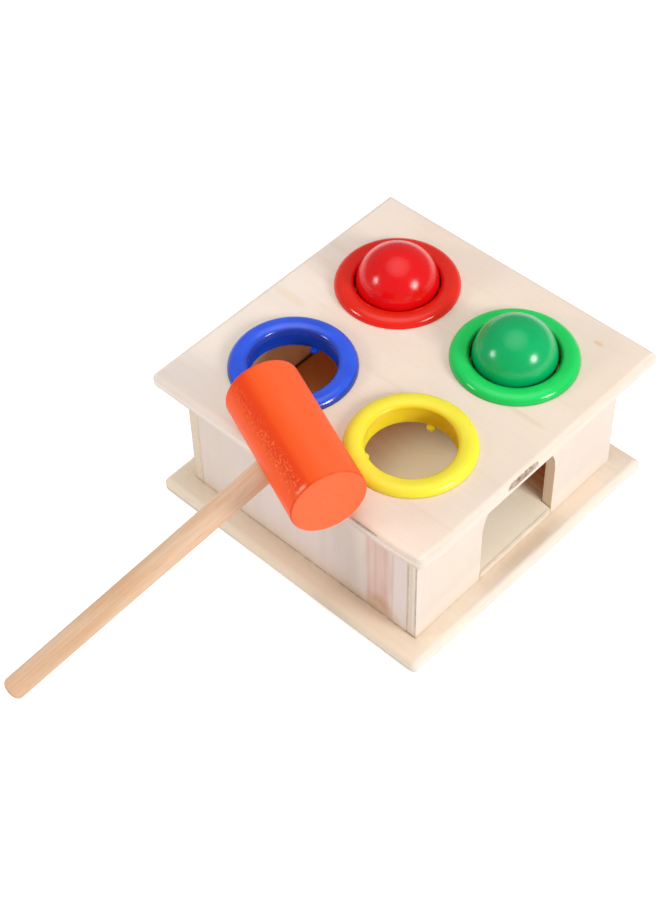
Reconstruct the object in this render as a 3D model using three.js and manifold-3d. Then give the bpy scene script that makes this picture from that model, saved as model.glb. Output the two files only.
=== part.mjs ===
// Ball pounding bench: a low plywood box with four ringed holes in its top board,
// two balls held in their rings, a ramp inside that leads to an arched door,
// and a small hammer that leans on the box with its handle end on the table.
// Millimetres, +Z up. The origin is the centre of the base board's underside.
// The door faces -Y, and the hammer lies across the -X edge of the top board.

import * as THREE from 'three';
import { mergeVertices } from 'three/addons/utils/BufferGeometryUtils.js';
import Module from 'manifold-3d';

const degree = Math.PI / 180;

// Box of four walls
const wallBoxWidth = 101.5;
const wallHeight = 48;
const wallThickness = 4;
const wallEdgeRadius = 0.4;
const wallCornerRadius = 0.9;

// Top and base boards
const boardOverhang = 8.25;
const boardThickness = 6;
const boardCornerRadius = 3;
const boardEdgeRadius = 2;

// Glued joints between boards keep this hairline
const glueLine = 0.05;

// Arched door in the front wall: straight jambs with a half round on top
const doorWidth = 37.5;
const doorJambHeight = 23;

// Ramp, which fills the box inside and ends in a tongue in the doorway
const rampThickness = 3;
const rampAngle = 11.3 * degree;
const rampSideGap = 0.3;

// Balls
const ballRadius = 14.15;
const ballSeatGap = 0.3;

// Rings
const ringSpacing = 51.2;
const ballSideGap = 1.25;
const throatFlare = 0.4;
const throatWall = 1.3;
const throatStandOut = 0.3;
const lipInnerWidth = 3.05;
const lipOuterWidth = 3.1;
const lipHeight = 2.95;
const lipInnerDrop = 1.1;
const lipOuterDrop = 2.75;
const lipFootInset = 0.35;
const ringHoleGap = 0.3;

// Nubs at the bottom of each throat, which hold a ball until it is struck
const nubGrip = 0.95;
const nubRadius = 1.7;
const nubHeight = 1.92;
const nubChamfer = 0.6;
const nubBearing = 15 * degree;
const nubCount = 3;

// Hammer
const headRadius = 12.5;
const headLength = 49.3;
const headEdgeRadius = 0.8;
const handleRadius = 4;
const handleReach = 123.3;
const handleEndRadius = 1.2;
const tenonPastAxis = 5;
const socketGap = 0.3;
const hammerYaw = -22.1 * degree;
const hammerTilt = 0.7 * degree;
const headInsideBoardEdge = 1.5;
const headFromMiddle = 6.2;
const supportGap = 0.3;
const handleTipGap = 0.2;

// One overrun serves every cut
const overrun = 2;

// Counts of flat sides on round shapes
const roundSides = 48;
const ballSides = 32;
const smallSides = 16;
const edgeSteps = 3;
const wallEdgeSteps = 1;
const lipSteps = 4;

// Fineness of the search for the hammer's resting height
const supportSteps = 40;
const dropHalvings = 20;

// Sizes that follow from those above
const boardWidth = wallBoxWidth + 2 * boardOverhang;
const wallBottom = boardThickness + glueLine;
const wallTop = boardThickness + wallHeight - glueLine;
const topBoardBottom = boardThickness + wallHeight;
const topBoardTop = topBoardBottom + boardThickness;
const innerWidth = wallBoxWidth - 2 * wallThickness;
const throatRadius = ballRadius + ballSideGap;
const throatOuterRadius = throatRadius + throatWall;
const crestRadius = throatRadius + lipInnerWidth;
const lipRadius = crestRadius + lipOuterWidth;
const nubTipRadius = ballRadius - nubGrip;
const throatBottom = -boardThickness - throatStandOut;

const wasm = await Module();
wasm.setup();

// A closed geometry as a solid that can be joined and cut
function toSolid(geometry) {
  const bare = geometry.clone();
  bare.deleteAttribute('normal');
  bare.deleteAttribute('uv');
  const merged = mergeVertices(bare);
  const mesh = new wasm.Mesh({
    numProp: 3,
    vertProperties: new Float32Array(merged.attributes.position.array),
    triVerts: new Uint32Array(merged.index.array),
  });
  return new wasm.Manifold(mesh);
}

function toGeometry(solid) {
  const mesh = solid.getMesh();
  const geometry = new THREE.BufferGeometry();
  geometry.setAttribute('position', new THREE.BufferAttribute(mesh.vertProperties, 3));
  geometry.setIndex(new THREE.BufferAttribute(mesh.triVerts, 1));
  geometry.computeVertexNormals();
  return geometry;
}

function material(color, roughness) {
  return new THREE.MeshStandardMaterial({ color, roughness, metalness: 0 });
}

function namedMesh(name, geometry, meshMaterial) {
  const mesh = new THREE.Mesh(geometry, meshMaterial);
  mesh.name = name;
  return mesh;
}

function roundedRectangle(width, depth, radius) {
  const shape = new THREE.Shape();
  const x = width / 2;
  const y = depth / 2;
  shape.moveTo(x - radius, -y);
  shape.absarc(x - radius, -y + radius, radius, -Math.PI / 2, 0);
  shape.absarc(x - radius, y - radius, radius, 0, Math.PI / 2);
  shape.absarc(-x + radius, y - radius, radius, Math.PI / 2, Math.PI);
  shape.absarc(-x + radius, -y + radius, radius, Math.PI, 1.5 * Math.PI);
  shape.closePath();
  return shape;
}

// A flat board of this outline, with rounded edges, whose underside is at z = 0
function board(shape, thickness, edgeRadius, steps) {
  const geometry = new THREE.ExtrudeGeometry(shape, {
    depth: thickness - 2 * edgeRadius,
    bevelThickness: edgeRadius,
    bevelSize: edgeRadius,
    bevelOffset: -edgeRadius,
    bevelSegments: steps,
    curveSegments: steps,
  });
  geometry.translate(0, 0, edgeRadius);
  return geometry;
}

// A straight round bar along +Z from z = 0
function bar(radius, length, sides) {
  const geometry = new THREE.CylinderGeometry(radius, radius, length, sides);
  geometry.rotateX(Math.PI / 2);
  geometry.translate(0, 0, length / 2);
  return geometry;
}

// The four ring places, by colour
function ringPlace(xSide, ySide) {
  return new THREE.Vector2(xSide * ringSpacing / 2, ySide * ringSpacing / 2);
}

const ringPlaces = {
  red: ringPlace(1, 1),
  green: ringPlace(1, -1),
  blue: ringPlace(-1, 1),
  yellow: ringPlace(-1, -1),
};

function baseBoard() {
  const outline = roundedRectangle(boardWidth, boardWidth, boardCornerRadius);
  return board(outline, boardThickness, boardEdgeRadius, edgeSteps);
}

function topBoard() {
  let solid = toSolid(baseBoard());
  for (const place of Object.values(ringPlaces)) {
    const hole = bar(throatOuterRadius + ringHoleGap, boardThickness + 2 * overrun, roundSides);
    hole.translate(place.x, place.y, -overrun);
    solid = solid.subtract(toSolid(hole));
  }
  return toGeometry(solid);
}

// A wall as seen from its outer face, standing on y = 0, with its thickness along z
function plainWall(width) {
  const shape = roundedRectangle(width, wallTop - wallBottom, wallCornerRadius);
  const geometry = board(shape, wallThickness, wallEdgeRadius, wallEdgeSteps);
  geometry.translate(0, (wallTop - wallBottom) / 2, 0);
  return geometry;
}

function doorOutline(width, jambHeight, foot) {
  const shape = new THREE.Shape();
  shape.moveTo(-width / 2, -foot);
  shape.lineTo(width / 2, -foot);
  shape.lineTo(width / 2, jambHeight);
  shape.absarc(0, jambHeight, width / 2, 0, Math.PI);
  shape.closePath();
  return shape;
}

function doorWall(width) {
  const opening = new THREE.ExtrudeGeometry(doorOutline(doorWidth, doorJambHeight, overrun), {
    depth: wallThickness + 2 * overrun,
    bevelEnabled: false,
    curveSegments: roundSides / 2,
  });
  opening.translate(0, 0, -overrun);
  return toGeometry(toSolid(plainWall(width)).subtract(toSolid(opening)));
}

// Height of the ramp's upper face at a given y
function rampTopAt(y) {
  const frontFoot = boardThickness + glueLine;
  const upright = rampThickness / Math.cos(rampAngle);
  return frontFoot + upright + (y + wallBoxWidth / 2) * Math.tan(rampAngle);
}

// A slice of the ramp between two y places, of a given width
function rampSlice(width, yFront, yBack) {
  const upright = rampThickness / Math.cos(rampAngle);
  const side = new THREE.Shape();
  side.moveTo(yFront, rampTopAt(yFront) - upright);
  side.lineTo(yBack, rampTopAt(yBack) - upright);
  side.lineTo(yBack, rampTopAt(yBack));
  side.lineTo(yFront, rampTopAt(yFront));
  side.closePath();
  const geometry = new THREE.ExtrudeGeometry(side, { depth: width, bevelEnabled: false });
  geometry.translate(0, 0, -width / 2);
  geometry.rotateY(Math.PI / 2);
  geometry.rotateX(Math.PI / 2);
  return geometry;
}

function ramp() {
  const front = -wallBoxWidth / 2;
  const insideFront = front + wallThickness + rampSideGap;
  const insideBack = wallBoxWidth / 2 - wallThickness - rampSideGap;
  const tongue = rampSlice(doorWidth - 2 * rampSideGap, front, insideFront + overrun);
  const floor = rampSlice(innerWidth - 2 * rampSideGap, insideFront, insideBack);
  return toGeometry(toSolid(tongue).add(toSolid(floor)));
}

// One quarter of an ellipse round a centre, as points from one angle to another
function quarter(centreR, centreZ, radiusR, radiusZ, fromAngle, toAngle) {
  const points = [];
  for (let step = 0; step <= lipSteps; step += 1) {
    const angle = fromAngle + (toAngle - fromAngle) * step / lipSteps;
    points.push(new THREE.Vector2(
      centreR + radiusR * Math.cos(angle),
      centreZ + radiusZ * Math.sin(angle),
    ));
  }
  return points;
}

// The dome of a lip, from its outer foot over the crest to the throat, as radius and height
function lipDome() {
  return [
    ...quarter(crestRadius, lipHeight - lipOuterDrop, lipOuterWidth, lipOuterDrop, 0, Math.PI / 2),
    ...quarter(crestRadius, lipHeight - lipInnerDrop, lipInnerWidth, lipInnerDrop, Math.PI / 2, Math.PI).slice(1),
  ];
}

// A nub stands on the throat's bottom edge: a short post with a chamfered top
function nub() {
  const profile = [
    new THREE.Vector2(0, 0),
    new THREE.Vector2(nubRadius, 0),
    new THREE.Vector2(nubRadius, nubHeight - nubChamfer),
    new THREE.Vector2(nubRadius - nubChamfer, nubHeight),
    new THREE.Vector2(0, nubHeight),
  ];
  const geometry = new THREE.LatheGeometry(profile, smallSides);
  geometry.rotateX(Math.PI / 2);
  return geometry;
}

// A ring: a domed lip that lies on the board, a throat down its hole, and three nubs.
// z = 0 is the board's upper face.
function ring() {
  const foot = lipRadius - lipFootInset;
  const profile = [
    new THREE.Vector2(throatRadius + throatFlare, throatBottom),
    new THREE.Vector2(throatOuterRadius, throatBottom),
    new THREE.Vector2(throatOuterRadius, glueLine),
    new THREE.Vector2(foot, glueLine),
    ...lipDome(),
    new THREE.Vector2(throatRadius + throatFlare, throatBottom),
  ];
  const turned = new THREE.LatheGeometry(profile, roundSides);
  turned.rotateX(Math.PI / 2);
  let solid = toSolid(turned);
  for (let index = 0; index < nubCount; index += 1) {
    const post = nub();
    post.translate(nubTipRadius + nubRadius, 0, throatBottom);
    post.rotateZ(nubBearing + index * 2 * Math.PI / nubCount);
    solid = solid.add(toSolid(post));
  }
  return toGeometry(solid);
}

// Height of a resting ball's centre above the top board: the ball clears the
// edge where each nub's side meets its chamfer by the seat gap
function ballSeatHeight() {
  const nubShoulder = throatBottom + nubHeight - nubChamfer;
  const reach = ballRadius + ballSeatGap;
  return nubShoulder + Math.sqrt(reach * reach - nubTipRadius * nubTipRadius);
}

function ball() {
  const geometry = new THREE.SphereGeometry(ballRadius, ballSides, ballSides / 2);
  geometry.rotateX(Math.PI / 2);
  return geometry;
}

// A solid round bar with softened ends along +Y, from one y to another
function softenedBar(radius, yFrom, yTo, endRadius, sides) {
  const profile = [new THREE.Vector2(0, yFrom)];
  for (let step = 0; step <= edgeSteps; step += 1) {
    const angle = Math.PI / 2 * step / edgeSteps;
    profile.push(new THREE.Vector2(
      radius - endRadius + endRadius * Math.sin(angle),
      yFrom + endRadius - endRadius * Math.cos(angle),
    ));
  }
  for (let step = 0; step <= edgeSteps; step += 1) {
    const angle = Math.PI / 2 * step / edgeSteps;
    profile.push(new THREE.Vector2(
      radius - endRadius + endRadius * Math.cos(angle),
      yTo - endRadius + endRadius * Math.sin(angle),
    ));
  }
  profile.push(new THREE.Vector2(0, yTo));
  return new THREE.LatheGeometry(profile, sides);
}

// The head's axis is along Y. The handle runs along -X from past that axis.
function hammerHead() {
  const solid = toSolid(softenedBar(headRadius, -headLength / 2, headLength / 2, headEdgeRadius, roundSides));
  const socket = bar(handleRadius + socketGap, tenonPastAxis + socketGap + headRadius + overrun, roundSides / 2);
  socket.translate(0, 0, -tenonPastAxis - socketGap);
  socket.rotateY(-Math.PI / 2);
  return toGeometry(solid.subtract(toSolid(socket)));
}

function hammerHandle() {
  const geometry = softenedBar(handleRadius, -tenonPastAxis, handleReach, handleEndRadius, roundSides / 2);
  geometry.rotateZ(Math.PI / 2);
  return geometry;
}

// Points all over the dome of one ring's lip, in the box's frame
function lipPoints(place) {
  const points = [];
  for (let side = 0; side < 2 * roundSides; side += 1) {
    const bearing = side * Math.PI / roundSides;
    for (const { x: radius, y: height } of lipDome()) {
      points.push(new THREE.Vector3(
        place.x + radius * Math.cos(bearing),
        place.y + radius * Math.sin(bearing),
        topBoardTop + height,
      ));
    }
  }
  return points;
}

// Points all over the flat of the top board's upper face
function boardTopPoints() {
  const flatWidth = boardWidth - 2 * boardEdgeRadius;
  const points = [];
  for (let across = 0; across <= supportSteps; across += 1) {
    for (let along = 0; along <= supportSteps; along += 1) {
      points.push(new THREE.Vector3(
        flatWidth * (across / supportSteps - 1 / 2),
        flatWidth * (along / supportSteps - 1 / 2),
        topBoardTop,
      ));
    }
  }
  return points;
}

// Distance from a point to the head's round bar, negative inside it
function distanceToHead(point, centre, axis) {
  const offset = point.clone().sub(centre);
  const pastEnd = Math.abs(offset.dot(axis)) - headLength / 2;
  const pastSide = offset.projectOnPlane(axis).length() - headRadius;
  const outside = Math.hypot(Math.max(pastEnd, 0), Math.max(pastSide, 0));
  return outside + Math.min(Math.max(pastEnd, pastSide), 0);
}

// Where the hammer lies: its head crosses the top board's edge, with its far end
// on the blue ring's lip, and its handle ends on the table. The head comes down
// over its place until it clears what is under it by the support gap.
function placeHammer(hammer) {
  hammer.rotation.order = 'ZXY';
  hammer.rotation.set(hammerTilt, 0, hammerYaw);
  const axis = new THREE.Vector3(0, 1, 0).applyEuler(hammer.rotation);
  const centre = new THREE.Vector3(headInsideBoardEdge - boardWidth / 2, -headFromMiddle, 0);
  const support = [...boardTopPoints(), ...Object.values(ringPlaces).flatMap(lipPoints)];
  let metZ = topBoardTop;
  let clearZ = topBoardTop + lipHeight + headLength;
  for (let halving = 0; halving < dropHalvings; halving += 1) {
    centre.z = (metZ + clearZ) / 2;
    const gap = Math.min(...support.map((point) => distanceToHead(point, centre, axis)));
    if (gap > supportGap) {
      clearZ = centre.z;
    } else {
      metZ = centre.z;
    }
  }
  centre.z = clearZ;
  const endReach = handleReach - handleEndRadius;
  const endSide = handleRadius - handleEndRadius;
  const endHeight = centre.z - handleEndRadius - handleTipGap;
  const slope = Math.asin(endHeight / Math.hypot(endReach, endSide)) - Math.atan2(endSide, endReach);
  const dip = Math.asin(Math.sin(slope) / Math.cos(hammerTilt));
  hammer.position.copy(centre);
  hammer.rotation.set(hammerTilt, -dip, hammerYaw);
}

// Colours and surfaces
const paleWood = material('#f1dec8', 0.6);
const wallWood = material('#f0dccb', 0.6);
const rampWood = material('#dfc7a6', 0.65);
const handleWood = material('#e0b088', 0.6);
const orangePaint = material('#ff5a19', 0.45);
const ringColors = { red: '#e12d28', green: '#1ed76e', blue: '#1e4be6', yellow: '#ffee3c' };
const ballColors = { red: '#eb191e', green: '#0aaa5f' };

function buildBench() {
  const bench = new THREE.Group();
  bench.add(namedMesh('base_board', baseBoard(), paleWood.clone()));

  const lid = namedMesh('top_board', topBoard(), paleWood.clone());
  lid.position.z = topBoardBottom;
  bench.add(lid);

  // The front and back walls run the full width, and the side walls stand between them
  const walls = [
    ['front_wall', doorWall(wallBoxWidth), 0],
    ['right_wall', plainWall(innerWidth - 2 * glueLine), Math.PI / 2],
    ['back_wall', plainWall(wallBoxWidth), Math.PI],
    ['left_wall', plainWall(innerWidth - 2 * glueLine), -Math.PI / 2],
  ];
  for (const [name, geometry, turn] of walls) {
    geometry.rotateX(Math.PI / 2);
    geometry.translate(0, wallThickness - wallBoxWidth / 2, wallBottom);
    geometry.rotateZ(turn);
    bench.add(namedMesh(name, geometry, wallWood.clone()));
  }

  bench.add(namedMesh('ramp_board', ramp(), rampWood.clone()));

  for (const [color, place] of Object.entries(ringPlaces)) {
    const mesh = namedMesh(`${color}_ring`, ring(), material(ringColors[color], 0.25));
    mesh.position.set(place.x, place.y, topBoardTop);
    bench.add(mesh);
  }

  for (const [color, value] of Object.entries(ballColors)) {
    const place = ringPlaces[color];
    const mesh = namedMesh(`${color}_ball`, ball(), material(value, 0.2));
    mesh.position.set(place.x, place.y, topBoardTop + ballSeatHeight());
    bench.add(mesh);
  }
  return bench;
}

function buildHammer() {
  const hammer = new THREE.Group();
  hammer.add(namedMesh('hammer_head', hammerHead(), orangePaint));
  hammer.add(namedMesh('hammer_handle', hammerHandle(), handleWood));
  placeHammer(hammer);
  return hammer;
}

const group = new THREE.Group();
group.add(buildBench());
group.add(buildHammer());

export default group;
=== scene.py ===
import math
from collections import namedtuple

import bmesh
import bpy
from mathutils import Matrix, Vector, noise


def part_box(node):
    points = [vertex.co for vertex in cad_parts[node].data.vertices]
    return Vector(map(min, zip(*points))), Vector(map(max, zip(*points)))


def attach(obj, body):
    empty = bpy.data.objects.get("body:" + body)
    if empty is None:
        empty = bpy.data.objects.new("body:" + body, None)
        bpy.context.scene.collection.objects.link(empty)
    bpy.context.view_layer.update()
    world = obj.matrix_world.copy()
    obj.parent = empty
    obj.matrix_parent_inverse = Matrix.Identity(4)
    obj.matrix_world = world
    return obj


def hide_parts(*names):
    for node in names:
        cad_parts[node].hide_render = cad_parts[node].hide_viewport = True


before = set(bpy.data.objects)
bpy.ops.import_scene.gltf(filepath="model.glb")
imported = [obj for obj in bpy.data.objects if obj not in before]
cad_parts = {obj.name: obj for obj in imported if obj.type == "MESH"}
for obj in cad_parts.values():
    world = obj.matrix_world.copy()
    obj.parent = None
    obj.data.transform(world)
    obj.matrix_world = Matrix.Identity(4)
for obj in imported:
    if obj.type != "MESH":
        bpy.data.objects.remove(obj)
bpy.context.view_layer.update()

# A ball pounding bench: a plywood box with four ringed holes on top, two balls in them, a ramp that leads to
# an arched door, and a hammer that leans on the box. The origin is the middle of the base board's underside,
# +Z is up, -Y is towards the door and -X towards the hammer, as in the CAD. Sizes and places are in
# millimetres, and MM turns them into metres. Patterns in materials are in features per metre.
MM = 0.001
QUARTER = math.pi / 2


def middle(node):
    """The middle of a CAD node's box, in millimetres."""
    low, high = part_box(node)
    return (Vector(low) + Vector(high)) / (2 * MM)


# Sizes of the boards, walls and ramp
BOARD_HALF = 59.0
BOARD_THICK = 6.0
BOARD_EDGE = 2.3
EDGE_STEPS = 8
TOP_LOW = 54.0
TOP_HIGH = TOP_LOW + BOARD_THICK
WALL_BOX = 101.5
WALL_HALF = WALL_BOX / 2
WALL_THICK = 4.0
WALL_FOOT_GAP = 0.01
WALL_TOP_GAP = 0.05
WALL_LOW = BOARD_THICK + WALL_FOOT_GAP
WALL_HIGH = TOP_LOW - WALL_TOP_GAP
WALL_EDGE = 0.15
WALL_CORNER = 0.4
SIDE_WALL_GAP = 0.1
THIN_EDGE_STEPS = 4
DOOR_WIDTH = 37.5
DOOR_HALF = DOOR_WIDTH / 2
DOOR_JAMB = 23.0
DOOR_STEPS = 48
RAMP_THICK = 3.0
RAMP_SLOPE = math.tan(math.radians(11.3))
RAMP_GAP = 0.3
RAMP_EDGE = 0.25

# Sizes of the rings and balls
HOLE_RADIUS = 17.0
HOLE_EDGE = 0.3
HOLE_STEPS = 72
RING_SIDES = 144
NUB_AT = 14.6
NUB_BEARINGS = (15, 130, 255)
NUB_SIDES = 32
BALL_RADIUS = 14.25
BALL_CUTS = 31

# Sizes of the hammer. Its own axes start in the middle of its head, with the head along Y and the handle
# along -X. It is turned by a bearing about Z, a roll about X, and the lean about Y at which its handle's end
# stands on the table.
HEAD_RADIUS = 12.6
HEAD_LENGTH = 50.2
HEAD_HALF = HEAD_LENGTH / 2
HEAD_EDGE = 0.8
HEAD_SIDES = 128
HANDLE_RADIUS = 4.0
HANDLE_REACH = 123.3
HANDLE_EDGE = 1.2
HANDLE_SIDES = 48
TENON = 5.0
SOCKET_END_GAP = 0.3
SOCKET_GAP = 0.12
SOCKET_MOUTH = 11.9
SOCKET_MOUTH_GAP = 0.9
SOCKET_OUT = HEAD_RADIUS + 1.0
SOCKET_SIDES = 64
HAMMER_AT = middle("hammer_head")
HAMMER_BEARING, HAMMER_ROLL, HAMMER_LEAN = -22.1, 0.7, -34.6685
HAMMER_TURN = (Matrix.Rotation(math.radians(HAMMER_BEARING), 3, "Z")
               @ Matrix.Rotation(math.radians(HAMMER_ROLL), 3, "X")
               @ Matrix.Rotation(math.radians(HAMMER_LEAN), 3, "Y"))


# Camera

def place_camera():
    """The camera that was fitted to the straight board edges and the ring outlines in the photograph."""
    azimuth, elevation, roll = (math.radians(angle) for angle in (-45.825, 49.389, -1.574))
    target = Vector((-19.516, 15.808, 20.359))
    distance = 639.70
    focal_pixels = 1873.71
    photo_height_pixels = 900
    sensor_mm = 36
    clip_metres = (0.01, 50)
    back = Vector((math.sin(azimuth) * math.cos(elevation), -math.cos(azimuth) * math.cos(elevation),
                   math.sin(elevation)))
    right = (-back).cross(Vector((0, 0, 1))).normalized()
    up = right.cross(-back)
    right, up = (right * math.cos(roll) + up * math.sin(roll), up * math.cos(roll) - right * math.sin(roll))
    data = bpy.data.cameras.new("camera")
    data.lens = focal_pixels / photo_height_pixels * sensor_mm
    data.clip_start, data.clip_end = clip_metres
    cam = bpy.data.objects.new("camera", data)
    bpy.context.scene.collection.objects.link(cam)
    turn = Matrix((right, up, back)).transposed().to_4x4()
    cam.matrix_world = Matrix.Translation((target + back * distance) * MM) @ turn
    bpy.context.scene.camera = cam


# Outlines and meshes

def ellipse(cx, cy, rx, ry, start, end, steps):
    """Points of an elliptical arc, both ends included."""
    turns = [start + (end - start) * k / steps for k in range(steps + 1)]
    return [(cx + rx * math.cos(turn), cy + ry * math.sin(turn)) for turn in turns]


def arc(cx, cy, radius, start, end, steps):
    return [Vector(point) for point in ellipse(cx, cy, radius, radius, start, end, steps)]


def round_hole(cx, cy, radius, steps):
    """A hole's outline, clockwise, so that moving it in makes it wider."""
    turns = [2 * math.pi * k / steps for k in range(steps)]
    return [Vector((cx + radius * math.cos(turn), cy + radius * math.sin(turn))) for turn in reversed(turns)]


def inset(loop, distance):
    """Moves a closed 2-D loop to its left by a distance, with mitred corners."""
    moved = []
    for i, here in enumerate(loop):
        before, after = loop[i - 1], loop[(i + 1) % len(loop)]
        along_in, along_out = (here - before).normalized(), (after - here).normalized()
        left_in, left_out = Vector((-along_in.y, along_in.x)), Vector((-along_out.y, along_out.x))
        moved.append(here + (left_in + left_out) * (distance / (1 + left_in.dot(left_out))))
    return moved


def rounded_polygon(corners, radii, steps=6):
    """A convex outline, anticlockwise, with a radius at each corner."""
    loop = []
    for k, corner in enumerate(corners):
        back = (corners[k - 1] - corner).normalized()
        ahead = (corners[(k + 1) % len(corners)] - corner).normalized()
        half = back.angle(ahead) / 2
        centre = corner + (back + ahead).normalized() * (radii[k] / math.sin(half))
        start = corner + back * (radii[k] / math.tan(half)) - centre
        for step in range(steps + 1):
            turn = (math.pi - 2 * half) * step / steps
            loop.append(centre + Matrix.Rotation(turn, 2) @ start)
    return loop


def sawn(corners, radii):
    """A board's outline with rounded corners, as a function of how far it is moved in."""
    least_radius = 0.05
    points = [Vector(corner) for corner in corners]
    return lambda d: rounded_polygon(inset(points, d), [max(radius - d, least_radius) for radius in radii])


def stepped(loop):
    """An outline as it is, as a function of how far it is moved in."""
    return lambda d: inset(loop, d)


def plate(outline, holes, thickness, edge, hole_edge, steps, place):
    """A board with rounded edges. outline(d) is its outline moved in by d, each hole a loop, and
    place turns (x, y, depth) into the row frame."""
    bm = bmesh.new()
    rims = ([], [])
    for loop_at, radius in [(outline, edge)] + [(stepped(hole), hole_edge) for hole in holes]:
        turns = [QUARTER * k / steps for k in range(steps + 1)]
        levels = [(radius * (1 - math.sin(turn)), radius * (1 - math.cos(turn))) for turn in turns]
        levels += [(d, thickness - z) for d, z in reversed(levels)]
        rows = [[bm.verts.new(place(Vector((p.x, p.y, z)))) for p in loop_at(d)] for d, z in levels]
        count = len(rows[0])
        for low, high in zip(rows, rows[1:]):
            for i in range(count):
                j = (i + 1) % count
                bm.faces.new((low[i], low[j], high[j], high[i]))
        for rim, row in zip(rims, (rows[0], rows[-1])):
            rim += [bm.edges.get((row[i], row[(i + 1) % count])) for i in range(count)]
    for rim in rims:
        bmesh.ops.triangle_fill(bm, use_beauty=True, use_dissolve=False, edges=rim)
    return bm


def lathe(profile, sides, place):
    """A profile of (radius, height) turned round. It starts and ends on the axis, where its points are
    merged, or else it closes on itself."""
    on_axis = 1e-6
    bm = bmesh.new()
    turns = [2 * math.pi * side / sides for side in range(sides)]
    rows = []
    for radius, z in profile:
        if radius < on_axis:
            points = [Vector((0, 0, z))]
        else:
            points = [Vector((radius * math.cos(turn), radius * math.sin(turn), z)) for turn in turns]
        rows.append([bm.verts.new(place(point)) for point in points])
    pairs = list(zip(rows, rows[1:]))
    if profile[0][0] > on_axis:
        pairs.append((rows[-1], rows[0]))
    for a, b in pairs:
        for s in range(sides):
            t = (s + 1) % sides
            if len(a) == 1:
                bm.faces.new((a[0], b[t], b[s]))
            elif len(b) == 1:
                bm.faces.new((a[s], a[t], b[0]))
            else:
                bm.faces.new((a[s], a[t], b[t], b[s]))
    return bm


def softened_bar(radius, low, high, edge, steps=8):
    """The profile of a solid bar with rounded rims."""
    return ([(0, low)] + ellipse(radius - edge, low + edge, edge, edge, -QUARTER, 0, steps)
            + ellipse(radius - edge, high - edge, edge, edge, 0, QUARTER, steps) + [(0, high)])


def loose_object(name, bm):
    """A plain object in the scene, which is no piece."""
    mesh = bpy.data.meshes.new(name)
    bm.to_mesh(mesh)
    bm.free()
    obj = bpy.data.objects.new(name, mesh)
    bpy.context.scene.collection.objects.link(obj)
    return obj


def finish_piece(name, bm, body, node, mat, coords, sharp=35.0):
    """Makes the piece that stands for a CAD node: mesh in metres, smooth shading with flat faces kept flat,
    and the vector attribute 'board' (metres) that the materials are laid out by."""
    bmesh.ops.recalc_face_normals(bm, faces=bm.faces)
    local = [coords(v.co) for v in bm.verts]
    obj = loose_object(name, bm)
    mesh = obj.data
    attribute = mesh.attributes.new("board", "FLOAT_VECTOR", "POINT")
    attribute.data.foreach_set("vector", [c * MM for p in local for c in p])
    mesh.transform(Matrix.Scale(MM, 4))
    mesh.shade_smooth()
    mesh.set_sharp_from_angle(angle=math.radians(sharp))
    mesh.materials.append(mat)
    weighted = obj.modifiers.new("flat faces", "WEIGHTED_NORMAL")
    weighted.keep_sharp = True
    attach(obj, body)
    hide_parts(node)
    return obj


# Materials

def darker(color, share):
    return tuple(c * share for c in color)


def tinged(color, shares):
    """A colour with each channel multiplied by a share of its own."""
    return tuple(c * share for c, share in zip(color, shares))


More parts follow.
